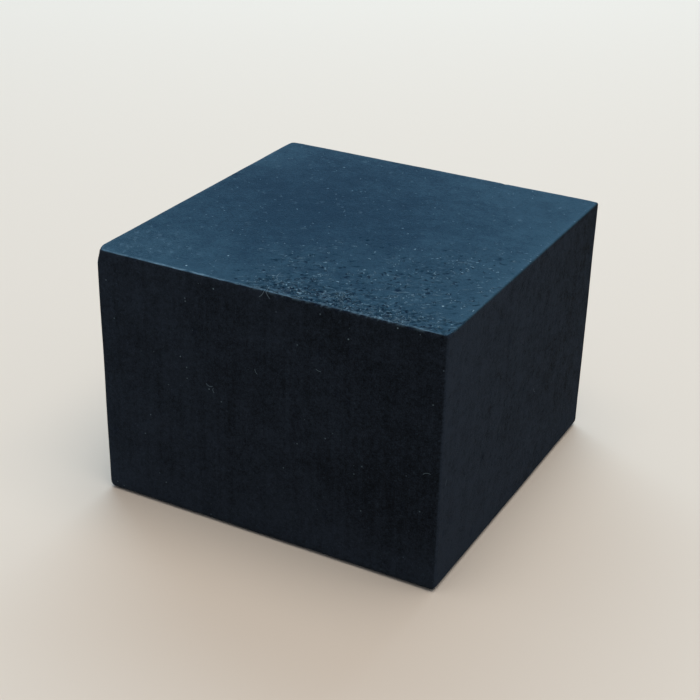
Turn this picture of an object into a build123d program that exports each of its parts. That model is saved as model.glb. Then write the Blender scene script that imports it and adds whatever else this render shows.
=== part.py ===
from build123d import *

import os

# Artists' charcoal block: powdered charcoal pressed with a little binder into
# one solid, square brick. It has no casing, core, pin or other piece.
#
# Frame: +Z up, the origin is the middle of the underside, and the four upright
# faces look along +X, -X, +Y and -Y.

# Driving sizes, in millimetres.
block_side = 70.0
block_height = 50.0

# The press die leaves the four upright corners rounded. The rim round the top
# is almost square as the punch leaves it, and the rim underneath, which is
# dragged and set down all day, is worn softer.
upright_corner_radius = 1.2
top_rim_radius = 0.4
bottom_rim_radius = 1.3


def pressed_block():
    """The square brick as it leaves the press, with its edges eased."""
    with BuildPart() as block:
        with BuildSketch(Plane.XY):
            RectangleRounded(block_side, block_side, upright_corner_radius)
        extrude(amount=block_height)
        top_face = block.faces().sort_by(Axis.Z)[-1]
        fillet(top_face.edges(), radius=top_rim_radius)
        bottom_face = block.faces().sort_by(Axis.Z)[0]
        fillet(bottom_face.edges(), radius=bottom_rim_radius)
    return block.part


os.makedirs("parts", exist_ok=True)
export_step(pressed_block(), "parts/charcoal_block.step")
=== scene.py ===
import math

import bpy
import numpy as np
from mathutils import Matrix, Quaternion, Vector, noise


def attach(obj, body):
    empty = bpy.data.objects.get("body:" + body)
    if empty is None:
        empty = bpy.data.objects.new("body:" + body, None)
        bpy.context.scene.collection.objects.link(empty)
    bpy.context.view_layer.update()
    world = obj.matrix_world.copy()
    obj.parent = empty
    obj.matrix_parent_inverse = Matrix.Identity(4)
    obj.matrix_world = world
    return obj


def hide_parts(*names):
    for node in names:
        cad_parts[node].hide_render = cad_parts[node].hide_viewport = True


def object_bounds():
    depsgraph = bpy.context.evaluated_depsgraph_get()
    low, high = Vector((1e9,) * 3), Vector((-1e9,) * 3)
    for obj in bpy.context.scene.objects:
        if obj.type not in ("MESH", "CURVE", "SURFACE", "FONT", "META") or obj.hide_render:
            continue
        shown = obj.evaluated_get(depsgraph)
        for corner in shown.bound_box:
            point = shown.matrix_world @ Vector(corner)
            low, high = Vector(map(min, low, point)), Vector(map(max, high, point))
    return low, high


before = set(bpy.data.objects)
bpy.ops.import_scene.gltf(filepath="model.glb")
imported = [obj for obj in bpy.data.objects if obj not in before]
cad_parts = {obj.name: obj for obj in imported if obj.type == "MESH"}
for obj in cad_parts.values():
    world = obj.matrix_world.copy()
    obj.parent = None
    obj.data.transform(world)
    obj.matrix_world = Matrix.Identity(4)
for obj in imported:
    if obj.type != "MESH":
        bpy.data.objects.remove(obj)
cad_low, cad_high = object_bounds()


# The block's body. Charcoal powder and a little binder are pressed in a square steel die and
# pushed out, so the real piece is one solid brick with flat faces and nothing fixed to it. It is
# drawn in millimetres as one closed skin of small cells, finest along the rims.
MM = 0.001
half = (cad_high.x - cad_low.x) / 2 / MM
height = (cad_high.z - cad_low.z) / MM

cells_across = 216
cells_up = 50
rim_fineness = 0.58

# The underside's rings of cells, by their distance from the rim: those that keep the fine cells
# of the sides, then those where each ring has half as many cells as the one before.
underside_steps = (0.25, 0.6, 1.1, 1.8)
underside_halvings = (3.0, 5.5, 10.0)


def spread(count):
    """Places from -1 to 1, closer together towards both ends."""
    even = np.linspace(-1, 1, count + 1)
    return (1 - rim_fineness) * even + rim_fineness * np.sin(even * math.pi / 2)


def square_ring(inset, count, z):
    """Points round a square, anticlockwise from above, starting at the front left corner."""
    reach = half - inset
    along = spread(count)[:-1] * reach
    edge = np.full(count, reach)
    x = np.concatenate([along, edge, -along, -edge])
    y = np.concatenate([-edge, along, edge, -along])
    return np.column_stack([x, y, np.full(4 * count, z)])


def ring_of(grid):
    """A square grid's border, in the same order as square_ring."""
    return np.concatenate([grid[:-1, 0], grid[-1, :-1], grid[:0:-1, -1], grid[0, :0:-1]])


points, faces, sheets = [], [], []
point_count = 0


def add_points(new):
    """Keeps the points and returns their numbers."""
    global point_count
    points.append(new)
    point_count += len(new)
    return np.arange(point_count - len(new), point_count)


TOP_SHEET, UNDERSIDE_SHEET, FIRST_SIDE_SHEET = 0, 1, 2


def add_band(upper, lower, sheet):
    """Skins the gap between two rings, the lower with as many points or half as many.

    Without a sheet, each quarter of the band is a side with a sheet of its own.
    """
    total = len(upper)
    for i in range(len(lower)):
        a, b = lower[i], lower[(i + 1) % len(lower)]
        if len(lower) == total:
            faces.append((a, b, upper[(i + 1) % total], upper[i]))
            sheets.append(sheet if sheet else FIRST_SIDE_SHEET + 4 * i // total)
        else:
            first, middle, last = upper[2 * i], upper[2 * i + 1], upper[(2 * i + 2) % total]
            faces.extend([(a, middle, first), (a, b, middle), (b, last, middle)])
            sheets.extend([sheet] * 3)


def add_grid(grid, sheet, facing_up):
    """Skins a square grid of points with four-sided cells."""
    for i in range(len(grid) - 1):
        for j in range(len(grid) - 1):
            cell = (grid[i, j], grid[i + 1, j], grid[i + 1, j + 1], grid[i, j + 1])
            faces.append(cell if facing_up else cell[::-1])
            sheets.append(sheet)


lines = spread(cells_across) * half
across, back = np.meshgrid(lines, lines, indexing="ij")
top_points = np.column_stack([across.ravel(), back.ravel(), np.full(across.size, height)])
top_grid = add_points(top_points).reshape(across.shape)
add_grid(top_grid, TOP_SHEET, facing_up=True)

ring = ring_of(top_grid)
for level in spread(cells_up)[-2::-1]:
    next_ring = add_points(square_ring(0, cells_across, height * (level + 1) / 2))
    add_band(ring, next_ring, None)
    ring = next_ring
for inset in underside_steps:
    next_ring = add_points(square_ring(inset, cells_across, 0))
    add_band(ring, next_ring, UNDERSIDE_SHEET)
    ring = next_ring
count = cells_across
for inset in underside_halvings:
    count //= 2
    next_ring = add_points(square_ring(inset, count, 0))
    add_band(ring, next_ring, UNDERSIDE_SHEET)
    ring = next_ring

lines = spread(count) * (half - underside_halvings[-1])
inner_across, inner_back = np.meshgrid(lines[1:-1], lines[1:-1], indexing="ij")
inner_points = np.column_stack([inner_across.ravel(), inner_back.ravel(), np.zeros(inner_across.size)])
under_grid = np.empty((count + 1, count + 1), int)
under_grid[1:-1, 1:-1] = add_points(inner_points).reshape(inner_across.shape)
ring_sides = ring.reshape(4, count)
under_grid[:-1, 0], under_grid[-1, :-1] = ring_sides[:2]
under_grid[:0:-1, -1], under_grid[0, :0:-1] = ring_sides[2:]
add_grid(under_grid, UNDERSIDE_SHEET, facing_up=False)

sharp = np.concatenate(points)


# The eased edges. The die rounds the four upright corners, and the punch leaves the top rim
# nearly square. Standing wears the rim underneath soft, and handling blunts all eight corners,
# the front left one of the top most.
upright_radius = 0.95
front_left_upright_radius = 1.2
back_right_upright_radius = 0.3
top_rim_radius = 0.3
bottom_rim_radius = 1.3
worn_corner_radius = 0.25
worn_corner_reach = 2.5
blunted_corner_shift = np.array([0.42, 0.30, -0.08])
blunted_corner_reach = 3.0


def smooth(low, high, value):
    """0 up to low, 1 from high on, and a soft slope between; low may be the larger."""
    t = np.clip((value - low) / (high - low), 0, 1)
    return t * t * (3 - 2 * t)


def cloud(where, size, seed):
    """A soft random height from about -1 to 1, with lumps of the given size, at each point."""
    shift = Vector((seed * 17.3, seed * 5.1, seed * 11.7))
    return np.array([noise.noise(Vector(p) / size + shift) for p in where])


def pick_upright_radius(p):
    """The upright corners' radius at each point, a little uneven up the height."""
    front_left = smooth(-10, -25, p[:, 0]) * smooth(-10, -25, p[:, 1])
    back_right = smooth(10, 25, p[:, 0]) * smooth(10, 25, p[:, 1]) * p[:, 2] / height
    radius = upright_radius + (front_left_upright_radius - upright_radius) * front_left
    radius += (back_right_upright_radius - upright_radius) * back_right
    return radius * (1 + 0.18 * cloud(p * (0.2, 0.2, 1), 14, seed=1))


def round_uprights(p):
    """The skin with its upright corners rounded, and each point's outward direction and inset."""
    radius = pick_upright_radius(p)
    centre = half - radius
    away = np.abs(p[:, :2]) - centre[:, None]
    in_corner = (away > 0).all(axis=1)
    reach = np.hypot(away[:, 0], away[:, 1])
    shrink = np.where(in_corner, away.max(axis=1) / np.maximum(reach, 1e-9), 1)
    side_of = np.where(p[:, :2] < 0, -1.0, 1.0)
    rounded = p.copy()
    pulled_in = side_of * (centre[:, None] + away * shrink[:, None])
    rounded[:, :2] = np.where(in_corner[:, None], pulled_in, p[:, :2])
    nearer_x = np.abs(p[:, 0]) >= np.abs(p[:, 1])
    outward = side_of * np.column_stack([nearer_x, ~nearer_x])
    outward = np.where(in_corner[:, None], side_of * away / np.maximum(reach, 1e-9)[:, None], outward)
    inset = half - np.abs(p[:, :2]).max(axis=1)
    inset = np.where(in_corner, radius - away.max(axis=1), inset)
    return rounded, outward, inset


def round_rim(inset, depth, radius):
    """How far a rim of this radius moves each point inwards and away from its flat face."""
    from_side = radius - inset
    from_face = radius - depth
    on_rim = (from_side > 0) & (from_face > 0)
    reach = np.maximum(np.hypot(from_side, from_face), 1e-9)
    inwards = from_side * (1 - radius / reach)
    down = from_face * (1 - radius / reach)
    return np.where(on_rim, inwards, 0), np.where(on_rim, down, 0)


body, outward, inset = round_uprights(sharp)
corner_nearness = smooth(half - worn_corner_reach, half, np.abs(sharp[:, :2]).min(axis=1))
unevenness = cloud(sharp, 7, seed=2)
top_radius = top_rim_radius * (1 + 0.25 * unevenness) + worn_corner_radius * corner_nearness
bottom_radius = bottom_rim_radius * (1 + 0.15 * unevenness)
for face_z, facing, radius in ((height, 1, top_radius), (0, -1, bottom_radius)):
    depth = np.abs(sharp[:, 2] - face_z)
    inwards, away_from_face = round_rim(inset, depth, radius)
    body[:, :2] -= outward * inwards[:, None]
    body[:, 2] -= facing * away_from_face
from_blunted_corner = np.linalg.norm(sharp - (-half, -half, height), axis=1)
body += smooth(blunted_corner_reach, 0.2, from_blunted_corner)[:, None] * blunted_corner_shift


# The pressed surface and its wear. The skin is even and fine on the sides and at the back of
# the top. Rubbing on paper has torn the middle and right of the front of the top into pits,
# scores and flakes and crumbled the front rim, and small knocks dot the sides.
recess = 0.06
swell_depth = 0.04
grain_depth = 0.012
ragged_depth = 0.035
crumble_depth = 0.012
chip_depth = 0.08
score_height, score_depth = 0.11, 0.13
score_slant, slant_spread = 28, 30
score_count, pit_count, knock_count = 520, 220, 60


def build_skin(vertices):
    """The mesh for these points, in metres."""
    mesh = bpy.data.meshes.new("pressed_block")
    mesh.from_pydata((vertices * MM).tolist(), [], faces)
    mesh.update()
    return mesh


smooth_skin = build_skin(body)
normals = np.empty(body.size)
smooth_skin.vertex_normals.foreach_get("vector", normals)
normals = normals.reshape(-1, 3)
bpy.data.meshes.remove(smooth_skin)

# How far each point belongs to each part of the skin, from 0 to 1. Each part starts and ends at
# the distances given, in millimetres, with a ragged border where a cloud is added to them.
x, y, z = body.T
from_front, below_top = y + half, height - z
on_top = smooth(1.2, 0.2, below_top)
on_underside = smooth(0.5, 0.05, z) * smooth(0.2, 1.5, inset)
front_rim = smooth(3.5, 0.3, from_front)
off_rim = smooth(0.1, 1.1, inset)
torn = smooth(12, 3, from_front + 4 * cloud(body, 5, seed=12)) * smooth(-10, 1, x)
scuffed = smooth(34, 8, from_front - 0.45 * x + 9 * cloud(body, 8, seed=3)) * smooth(-16, 4, x)
torn = np.maximum(torn, 0.45 * scuffed) * on_top * (1 - 0.45 * smooth(25, 32, x))
crumbling = smooth(0.9, 0.1, np.maximum(inset, below_top)) * (0.15 + 0.85 * front_rim)
chips = smooth(0.32, 0.5, cloud(body, 0.8, seed=7)) * crumbling

# How far each point stands out of the smooth skin.
lift = swell_depth * cloud(body, 16, seed=8) + grain_depth * cloud(body, 1.1, seed=9)
lift += ragged_depth * cloud(body, 0.8, seed=4) * torn * off_rim
lift -= crumble_depth * crumbling * (0.5 + cloud(body, 1.3, seed=10)) + chip_depth * chips

# The torn skin's single marks stand thickest where it is torn most, and the knocks anywhere on
# the sides. Their sizes and depths are in millimetres.
chance = np.random.default_rng(11)
# The hollow stain is painted shade in the chips, pits, sunken scores and knocks.
hollow, raised = chips * 0.7, np.zeros(len(body))
on_torn = np.flatnonzero(torn[:top_grid.size] > 0.02)
share = torn[on_torn] ** 2 / (torn[on_torn] ** 2).sum()


def mark(spot, slant, length, width, rise):
    """Raises or sinks one long or round mark in the torn skin of the top."""
    away_x, away_y = x[on_torn] - x[spot], y[on_torn] - y[spot]
    turn = math.radians(slant)
    along = (away_x * math.cos(turn) + away_y * math.sin(turn)) / length
    across = (away_y * math.cos(turn) - away_x * math.sin(turn)) / width
    shape = smooth(1, 0.2, np.hypot(along, across))
    lift[on_torn] += rise * shape * off_rim[on_torn]
    # Raised marks are stained with a painted highlight, sunken ones with painted shade.
    stain = raised if rise > 0 else hollow
    stain[on_torn] = np.maximum(stain[on_torn], shape * chance.uniform(0.4, 1))


for spot in chance.choice(on_torn, score_count, p=share):
    rise = chance.choice([-score_depth, score_height]) * chance.uniform(0.5, 1)
    slant = chance.normal(score_slant, slant_spread)
    length = chance.uniform(0.4, 1.5)
    mark(spot, slant, length, width=chance.uniform(0.16, 0.3), rise=rise)
for spot in chance.choice(on_torn, pit_count, p=share):
    size = chance.uniform(0.18, 0.42)
    mark(spot, chance.uniform(0, 180), size * chance.uniform(1, 1.8), size, -chance.uniform(0.08, 0.2))

side_points = np.flatnonzero((inset == 0) & (z > 3))
for spot in chance.choice(side_points, knock_count):
    from_spot = np.linalg.norm(body - body[spot], axis=1)
    knock = smooth(1, 0.2, from_spot / chance.uniform(0.4, 1.1))
    lift -= chance.uniform(0.03, 0.1) * knock
    # Each knock's dent is painted darker, as shade.
    hollow = np.maximum(hollow, 0.3 * knock)

lift = (lift - recess) * (1 - on_underside)
body += normals * lift[:, None]
body = np.clip(body, np.array(cad_low) / MM, np.array(cad_high) / MM)

block_mesh = build_skin(body)
block_mesh.polygons.foreach_set("use_smooth", np.ones(len(block_mesh.polygons), bool))
block = bpy.data.objects.new("pressed_block", block_mesh)
bpy.context.collection.objects.link(block)

# The worn parts that the finish follows. The dust film and its painted sheen lie on the top's own
# cells, which come first, and stop short of the front rim by the bared width. The rub and its
# painted highlight fade out at both ends.
in_top_sheet = np.arange(len(body)) < top_grid.size
bared = (0.36 + 0.16 * smooth(-5, 15, x)) * front_rim
film_and_sheen = smooth(bared - 0.12, bared + 0.12, inset + 0.12) * in_top_sheet
rim_ends = (1 - 0.6 * smooth(29, 34, x)) * (1 - 0.5 * smooth(-20, -31, x))
# The rim is painted paler for rub and for the highlight that the rim catches.
rim_rub_and_highlight = smooth(1.0, 0.62, inset) * (0.25 + 0.75 * front_rim) * rim_ends * film_and_sheen
layers = {
    "torn": torn * in_top_sheet,
    "hollow": hollow,
    "raised": raised,
    "rim_rub_and_highlight": rim_rub_and_highlight,
    "film_and_sheen": film_and_sheen,
}
for name, amount in layers.items():
    layer = block_mesh.attributes.new(name, "FLOAT", "POINT")
    layer.data.foreach_set("value", amount.astype(np.float32))


# The unfolded skin. Every face of the block lies flat on one sheet, side by side without
# overlaps, so that its finish can be drawn out at one even scale.
sheet_gap = 1.5
sheet_size = 2 * half + 2 * height + 4 * sheet_gap


def unfold(sheet, p):
    """Where a face's points lie, as shares of the sheet's size: two faces to a row, in three rows."""
    px, py, pz = p.T
    row_2 = 2 * half + 2 * sheet_gap
    row_3 = row_2 + height + sheet_gap
    column_2 = 2 * half + 2 * sheet_gap
    top = (px + half + sheet_gap, py + half + sheet_gap)
    underside = (half - px + column_2, py + half + sheet_gap)
    front = (px + half + sheet_gap, pz + row_2)
    right = (py + 3 * half + sheet_gap, pz + row_2)
    back = (half - px + sheet_gap, pz + row_3)
    left = (3 * half - py + sheet_gap, pz + row_3)
    return np.column_stack((top, underside, front, right, back, left)[sheet]) / sheet_size


corner_points = np.empty(len(block_mesh.loops), int)
block_mesh.loops.foreach_get("vertex_index", corner_points)
corner_sheets = np.repeat(sheets, [len(face) for face in faces])
flat_places = np.empty((len(corner_points), 2))
for sheet in range(6):
    chosen = corner_sheets == sheet
    flat_places[chosen] = unfold(sheet, sharp[corner_points[chosen]])
block_mesh.uv_layers.new(name="OFBake").data.foreach_set("uv", flat_places.ravel())


# The charcoal. Pressed charcoal is nearly black, slightly blue and dead matte. A grey film of its
# own dust lies on the top with a painted bluish sheen, the rim is paler with rub and a painted
# highlight, the pits are darker with painted shade, and crumbs of its dust and short fibres of
# lint cling to it.
coal_black = (0.0036, 0.0038, 0.0044, 1)
coal_grey = (0.0215, 0.0290, 0.0430, 1)
# The top's colours: its dust film, painted bluer and paler with the window's sheen.
film_and_sheen_thin = (0.0022, 0.0185, 0.041, 1)
film_and_sheen_thick = (0.020, 0.056, 0.090, 1)
# Pale dust, which also paints the highlights on the rim and on the raised scores.
pale_dust_and_highlight = (0.14, 0.23, 0.30, 1)
lint_white = (0.27, 0.38, 0.45, 1)
# Painted shade for the pits and hollows, darker than the bare charcoal.
pit_shade_black = (0.0002, 0.003, 0.017, 1)
shine_tint = (0.20, 0.66, 1.0, 1)
faint_shine = 1.15
relief_height = 0.0002


class Wire:
    """A value on its way through a material's nodes, so that its sums read as plain arithmetic."""

    def __init__(self, socket):
        self.socket = socket

    @staticmethod
    def node(tree, kind, settings, sockets, output=0):
        """Adds one node, sets it up, feeds its sockets and gives the wire that leaves it."""
        made = tree.nodes.new(kind)
        for name, value in settings.items():
            setattr(made, name, value)
        for key, value in sockets.items():
            if isinstance(value, Wire):
                tree.links.new(value.socket, made.inputs[key])
            else:
                made.inputs[key].default_value = value
        return Wire(made.outputs[output])

    def sum_node(self, operation, *values):
        settings = {"operation": operation}
        return Wire.node(self.socket.id_data, "ShaderNodeMath", settings, dict(enumerate(values)))

    def __add__(self, other):
        return self.sum_node("ADD", self, other)

    def __sub__(self, other):
        return self.sum_node("SUBTRACT", self, other)

    def __rsub__(self, other):
        return self.sum_node("SUBTRACT", other, self)

    def __mul__(self, other):
        return self.sum_node("MULTIPLY", self, other)

    def __abs__(self):
        return self.sum_node("ABSOLUTE", self)

    __radd__ = __add__
    __rmul__ = __mul__

    def larger(self, other):
        return self.sum_node("MAXIMUM", self, other)

    def slope(self, low, high):
        """0 up to low, 1 from high on, and a soft slope between; low may be the larger."""
        settings = {"interpolation_type": "SMOOTHSTEP"}
        sockets = {"Value": self, "From Min": low, "From Max": high}
        return Wire.node(self.socket.id_data, "ShaderNodeMapRange", settings, sockets)


charcoal = bpy.data.materials.new("charcoal")
charcoal.use_nodes = True
shader = charcoal.node_tree.nodes["Principled BSDF"]


def add(kind, settings, sockets, output=0):
    """Adds one node to the charcoal."""
    return Wire.node(charcoal.node_tree, kind, settings, sockets, output)


def blend(under, over, amount):
    """The colour over laid on the colour under; a Mix node's colours are its sockets 6 and 7."""
    return add("ShaderNodeMix", {"data_type": "RGBA"}, {0: amount, 6: under, 7: over}, output=2)


def scaled(where, scale):
    """The place stretched along each axis."""
    return add("ShaderNodeVectorMath", {"operation": "MULTIPLY"}, {0: where, 1: scale})


def distance(where, spot):
    """How far the place is from the spot."""
    return add("ShaderNodeVectorMath", {"operation": "DISTANCE"}, {0: where, 1: spot}, output=1)


def grain(where, fineness, detail, roughness):
    """Soft random shades from about 0 to 1; fineness is lumps to the millimetre."""
    sockets = {"Vector": where, "Scale": fineness, "Detail": detail, "Roughness": roughness}
    return add("ShaderNodeTexNoise", {}, sockets)


def worn(name):
    """One of the mesh's own layers, as a number from 0 to 1."""
    return add("ShaderNodeAttribute", {"attribute_name": name}, {}, output=2)


in_metres = add("ShaderNodeTexCoord", {}, {}, output="Object")
place = scaled(in_metres, (1 / MM, 1 / MM, 1 / MM))
place_x = add("ShaderNodeSeparateXYZ", {}, {0: place})
place_y = Wire(place_x.socket.node.outputs["Y"])
place_z = Wire(place_x.socket.node.outputs["Z"])

# The worn parts, from the mesh; they also carry painted sheen, highlight and shade.
top_mask = worn("film_and_sheen")
torn_mask = worn("torn") * top_mask
hollow_mask = worn("hollow")
raised_mask = worn("raised")
rim_rub_and_highlight_mask = worn("rim_rub_and_highlight")

# The shades of the pressed powder, from broad clouds down to single grains, and the upright
# streaks that the die's walls leave.
mottle = grain(place, 0.07, detail=3, roughness=0.55)
patches = grain(place, 0.35, detail=4, roughness=0.65)
grit = grain(place, 1.5, detail=3, roughness=0.75)
powder = grain(place, 4.2, detail=2, roughness=0.7)
streaks = grain(scaled(place, (1.0, 1.0, 0.03)), 0.8, detail=4, roughness=0.7)

# The sides' shade adds up the grains, each with its own weight, and the last number of the
# first line keeps most of it black. It is painted paler towards the front left, near the foot and on
# the right face, for the light that falls there.
side_shade = place_z.slope(14, 0) * 0.15 - place_x * 0.003 - place_y * 0.006 - 1.08
side_shade = side_shade + streaks * 0.4 + mottle * 0.4 + patches * 0.32 + powder * 0.8 + grit * 0.8
# The right face is painted paler and grainier, for the light that falls on it.
right_face = place_x.slope(half - 0.4, half - 0.15)
side_shade = side_shade + right_face * (place_y * 0.002 + patches * 0.5 + grit * 0.4 + 0.04)
side_colour = blend(coal_black, coal_grey, side_shade.slope(0, 1))

# The dust film and its painted bluish sheen are made up the same way. They are faintest round one
# spot of the top, and grow paler outwards from there and close to the right rim.
faintest_spot = (-10, 5, height)
film_and_sheen_amount = distance(place, faintest_spot).slope(4, 46) * 0.55 + place_x.slope(32, 35) * 0.3 - 1.6
film_and_sheen_amount = film_and_sheen_amount + mottle * 0.6 + patches + grit + powder * 0.9
top_colour = blend(film_and_sheen_thin, film_and_sheen_thick, film_and_sheen_amount.slope(0, 1))
colour = blend(side_colour, top_colour, top_mask)

# Marks in the torn skin lie along the scores, on lines that waver by about a millimetre.
turn = {"Vector": place, "Angle": -math.radians(score_slant)}
turned = add("ShaderNodeVectorRotate", {"rotation_type": "Z_AXIS"}, turn)
wavy = add("ShaderNodeTexNoise", {}, {"Vector": turned, "Scale": 1.1, "Detail": 3.0}, output="Color")
wavy = scaled(wavy, (1.6, 1.6, 1.6))
turned = add("ShaderNodeVectorMath", {"operation": "ADD"}, {0: turned, 1: wavy})


def scatter(stretch, size, lot_share, core=0.5, where=turned):
    """Small dots or dashes, one to a cell of the stretched place at most.

    The lot share goes from 0, none, to 1, one in every cell, and the core is the share of the
    size that is solid.
    """
    cells = add("ShaderNodeTexVoronoi", {}, {"Vector": scaled(where, stretch), "Scale": 1.0})
    lot = add("ShaderNodeSeparateXYZ", {}, {0: Wire(cells.socket.node.outputs["Color"])})
    return cells.slope(size, size * core) * (lot_share - lot).slope(0.0, 0.04)


# The dark marks are painted shade in the hollows of the mesh, and in pores, pits, dashes and
# dents too small for it. They gather in clusters where the skin is badly torn, and are rare elsewhere.
clusters = patches.slope(0.4, 0.62)
heavy = torn_mask * torn_mask * (0.35 + clusters * 0.65)
pores = powder.slope(0.42, 0.3) * grit.slope(0.5, 0.36) * (0.2 + torn_mask * 0.8)
pits = scatter((1.8, 1.1, 1.1), 0.46, heavy * 0.6 + torn_mask * 0.04 + 0.01)
dark_dashes = scatter((0.8, 1.25, 1.1), 0.46, heavy * 0.6 + torn_mask * 0.08)
dents = grain(turned, 0.8, detail=4, roughness=0.7).slope(0.44, 0.39)
dents = dents * (heavy * 0.8 + torn_mask * 0.1)
dark_marks = (hollow_mask * 0.7).larger(pores).larger(pits).larger(dark_dashes).larger(dents)
colour = blend(colour, pit_shade_black, dark_marks * (0.7 + heavy * 0.25))

# The pale marks are raised scores in the mesh, painted paler as a highlight, and crumbs, dashes and
# flakes too small for it.
flecks = powder.slope(0.62, 0.74) * grit.slope(0.5, 0.62) * (0.15 + torn_mask * 0.85)
crumbs = scatter((2.1, 1.4, 1.7), 0.4, heavy * 0.55 + torn_mask * 0.08 + top_mask * 0.03)
short_dashes = scatter((1.0, 1.9, 1.0), 0.36, heavy * 0.35 + torn_mask * 0.07)
long_dashes = scatter((0.42, 2.0, 0.7), 0.36, torn_mask * (0.15 + clusters * 0.4) + top_mask * 0.02)
long_dashes = long_dashes * grit.slope(0.3, 0.6)
flakes = grain(turned, 1.0, detail=4, roughness=0.7).slope(0.57, 0.62)
flakes = flakes * (heavy + torn_mask * 0.15)
pale_marks = (raised_mask * 0.35).larger(flecks * 0.7).larger(crumbs).larger(short_dashes)
pale_marks = pale_marks.larger(long_dashes * 0.68).larger(flakes * 0.52)

# Loose dust gathers round one spot near the front left corner of the top, in grit and soft
# blots, and a few bits of it lie all over the top.
dusty_spot = (-28, -29, height)
dusty_corner = distance(place, dusty_spot).slope(12, 1) * top_mask
dusty_grit = dusty_corner * (grit + powder * 0.5 + patches * 0.4).slope(0.93, 1.13)
blots = scatter((0.95, 0.55, 0.6), 0.6, dusty_corner * 0.5 + top_mask * 0.04, core=0.0)
bits = scatter((0.9, 0.75, 0.8), 0.28, top_mask * 0.1 + dusty_corner * 0.3) * grit.slope(0.3, 0.55)
pale_marks = pale_marks.larger(bits * 0.35).larger(dusty_grit * 0.1).larger(blots * 0.2)
colour = blend(colour, pale_dust_and_highlight, pale_marks)

# The rub along the front rim, with a painted highlight on it, breaks up into streaks that follow the
# rim.
along_rim = grain(scaled(place, (0.3, 1.2, 1.2)), 1.6, detail=3, roughness=0.7)
rim_breaks = 0.2 + patches.slope(0.38, 0.62) * 0.7
rim_breaks = rim_breaks * along_rim.slope(0.34, 0.66) * (0.6 + mottle.slope(0.4, 0.6) * 0.6)
colour = blend(colour, pale_dust_and_highlight, rim_rub_and_highlight_mask * rim_breaks)


def fibre(middle, towards, bend, half_length, strength):
    """A short curved hair lying on a face: part of a ring round a point of that face."""
    centre = Vector(middle) + Vector(towards).normalized() * bend
    line = abs(distance(place, centre) - bend).slope(0.065, 0.02)
    return line * distance(place, middle).slope(half_length, half_length * 0.7) * strength


def larger_of(wires):
    """The largest of several wires, everywhere."""
    largest = wires[0]
    for wire in wires[1:]:
        largest = largest.larger(wire)
    return largest


# The lint: each fibre's middle, the side that it bends towards, the radius of its bend, half its
# length and how well it shows. It lies on the top, then on the front and on the right face.
lint = larger_of((
    fibre((0.7, -33.9, height), (1, 0.3, 0), 2.2, 1.1, 0.4),
    fibre((-0.7, -28.4, height), (1, 0.4, 0), 3.0, 1.8, 0.4),
    fibre((-0.4, -28.2, height), (-0.4, 1, 0), 4.0, 1.4, 0.4),
    fibre((2.2, -29.8, height), (-0.3, 1, 0), 9.0, 1.7, 0.35),
    fibre((20.7, -23.5, height), (-0.5, 1, 0), 6.0, 1.7, 0.5),
    fibre((24.6, -6.3, height), (0.4, -1, 0), 3.0, 1.2, 0.5),
    fibre((0.3, -half, 49.3), (-1, 0, 0.7), 2.2, 1.0, 0.4),
    fibre((1.3, -half, 49.4), (1, 0, 0.7), 6.0, 0.9, 0.4),
    fibre((-11.0, -half, 28.6), (0.2, 0, 1), 0.9, 0.9, 0.35),
    fibre((-10.2, -half, 27.9), (1, 0, 0.2), 0.7, 0.6, 0.35),
    fibre((-1.2, -half, 34.1), (1, 0, 0.5), 1.2, 0.6, 0.35),
    fibre((11.3, -half, 37.6), (0.3, 0, 1), 1.5, 0.6, 0.35),
    fibre((32.4, -half, 23.8), (0.3, 0, -1), 1.3, 0.9, 0.3),
    fibre((half, 7.1, 20.7), (0, 1, 0.8), 1.4, 0.8, 0.2),
    fibre((half, -9.2, 20.2), (0, -1, 0.6), 1.1, 0.8, 0.2),
    fibre((half, -32.4, 21.4), (0, 1, -0.4), 0.9, 0.7, 0.2),
))
colour = blend(colour, lint_white, lint)


def speck(middle, radius):
    """A round speck of lint with a soft border."""
    return distance(place, middle).slope(radius + 0.1, radius - 0.08)


# The specks: the plainest ones by their middle and radius, then finer ones all over.
fine_specks = scatter((0.7, 0.7, 0.7), 0.12, 0.15, where=place) * 0.5
specks = larger_of((
    speck((-16.7, -32.6, height), 0.17),
    speck((-12.8, -25.1, height), 0.15),
    speck((29.3, -24.8, height), 0.18),
    speck((5.8, -32.4, height), 0.17),
    speck((-9.6, -half, 48.0), 0.12),
    speck((-17.0, -half, 33.0), 0.1),
    speck((17.0, -half, 45.0), 0.13),
    speck((-11.0, -half, 28.0), 0.1),
    speck((26.0, -half, 49.3), 0.12),
    fine_specks,
))
colour = blend(colour, lint_white, specks * (0.5 + top_mask * 0.45))

surface_rough = 0.85 - top_mask * 0.25 + powder * 0.15 + grit * 0.1
surface_rough = surface_rough - rim_rub_and_highlight_mask * 0.1 + dark_marks * 0.25
relief = powder * 0.7 + grit * 0.6 + patches * 0.5 + pale_marks * 2 - dark_marks + lint * 0.4
bump = add("ShaderNodeBump", {}, {"Strength": 1.0, "Distance": relief_height, "Height": relief})

tree = charcoal.node_tree
tree.links.new(colour.socket, shader.inputs["Base Color"])
tree.links.new(surface_rough.socket, shader.inputs["Roughness"])
tree.links.new(bump.socket, shader.inputs["Normal"])
shader.inputs["IOR"].default_value = faint_shine
shader.inputs["Specular Tint"].default_value = shine_tint
block_mesh.materials.append(charcoal)

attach(block, "root")
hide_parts("charcoal_block")


# The table. A plain pale sheet, far larger than the block, stands for the table top that the
# block rests on.
table_reach = 4.0
table_colour = (0.66, 0.58, 0.50, 1)

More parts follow.
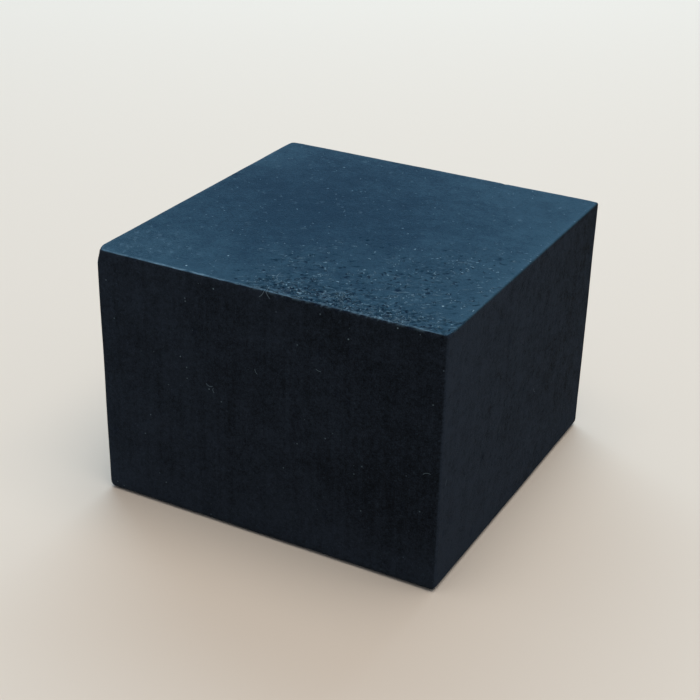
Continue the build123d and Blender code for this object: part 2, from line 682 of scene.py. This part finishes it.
table_mesh = bpy.data.meshes.new("table")
corners = [(x * table_reach, y * table_reach, 0) for x, y in ((-1, -1), (1, -1), (1, 1), (-1, 1))]
table_mesh.from_pydata(corners, [], [(0, 1, 2, 3)])
table = bpy.data.objects.new("table", table_mesh)
bpy.context.collection.objects.link(table)
table_paint = bpy.data.materials.new("table_paint")
table_paint.use_nodes = True
paint = table_paint.node_tree.nodes["Principled BSDF"]
paint.inputs["Base Color"].default_value = table_colour
paint.inputs["Roughness"].default_value = 0.9
paint.inputs["Specular IOR Level"].default_value = 0.0
table_mesh.materials.append(table_paint)


# The light. A broad cool window behind the block skims its top, a soft warm lamp overhead
# lights the table, and the room's own dim light fills the sides.
def hang_lamp(name, spot, size, power, colour):
    """A soft square lamp that faces the block."""
    lamp = bpy.data.lights.new(name, "AREA")
    lamp.shape = "RECTANGLE"
    lamp.size, lamp.size_y = size
    lamp.energy = power
    lamp.color = colour
    holder = bpy.data.objects.new(name, lamp)
    holder.location = spot
    holder.rotation_mode = "QUATERNION"
    to_block = Vector((0, 0, height * MM)) - Vector(spot)
    holder.rotation_quaternion = to_block.to_track_quat("-Z", "Y")
    holder.visible_camera = False
    bpy.context.collection.objects.link(holder)


hang_lamp("window", spot=(-0.46, 0.88, 0.72), size=(1.3, 0.8), power=15, colour=(0.55, 0.79, 1.0))
hang_lamp("ceiling", spot=(0.25, -0.1, 1.5), size=(1.2, 1.2), power=16, colour=(1.0, 0.94, 0.86))

room = bpy.data.worlds.new("room")
room.use_nodes = True
room_light = room.node_tree.nodes["Background"]
room_light.inputs["Color"].default_value = (0.40, 0.43, 0.47, 1)
room_light.inputs["Strength"].default_value = 0.8
bpy.context.scene.world = room
bpy.context.scene.view_settings.view_transform = "Standard"


# The camera stands in front and a little to the right of the block, looks down on it, and aims
# just off the block's middle.
camera_azimuth = math.radians(27.9)
camera_elevation = math.radians(26.7)
camera_roll = math.radians(1.26)
camera_distance = 0.2892
aim_right, aim_up = -0.00102, -0.00134
lens_length, lens_width = 76.1, 36

eye = bpy.data.cameras.new("camera")
eye.sensor_width = lens_width
eye.lens = lens_length
eye.clip_start = 0.01
camera = bpy.data.objects.new("camera", eye)
bpy.context.collection.objects.link(camera)
right = Vector((math.cos(camera_azimuth), math.sin(camera_azimuth), 0))
ahead = Vector((-math.sin(camera_azimuth), math.cos(camera_azimuth), 0))
looking = ahead * math.cos(camera_elevation) - Vector((0, 0, math.sin(camera_elevation)))
middle = (cad_low + cad_high) / 2
camera.location = middle - looking * camera_distance + right * aim_right + right.cross(looking) * aim_up
camera.rotation_mode = "QUATERNION"
camera.rotation_quaternion = looking.to_track_quat("-Z", "Y") @ Quaternion((0, 0, 1), camera_roll)
bpy.context.scene.camera = camera
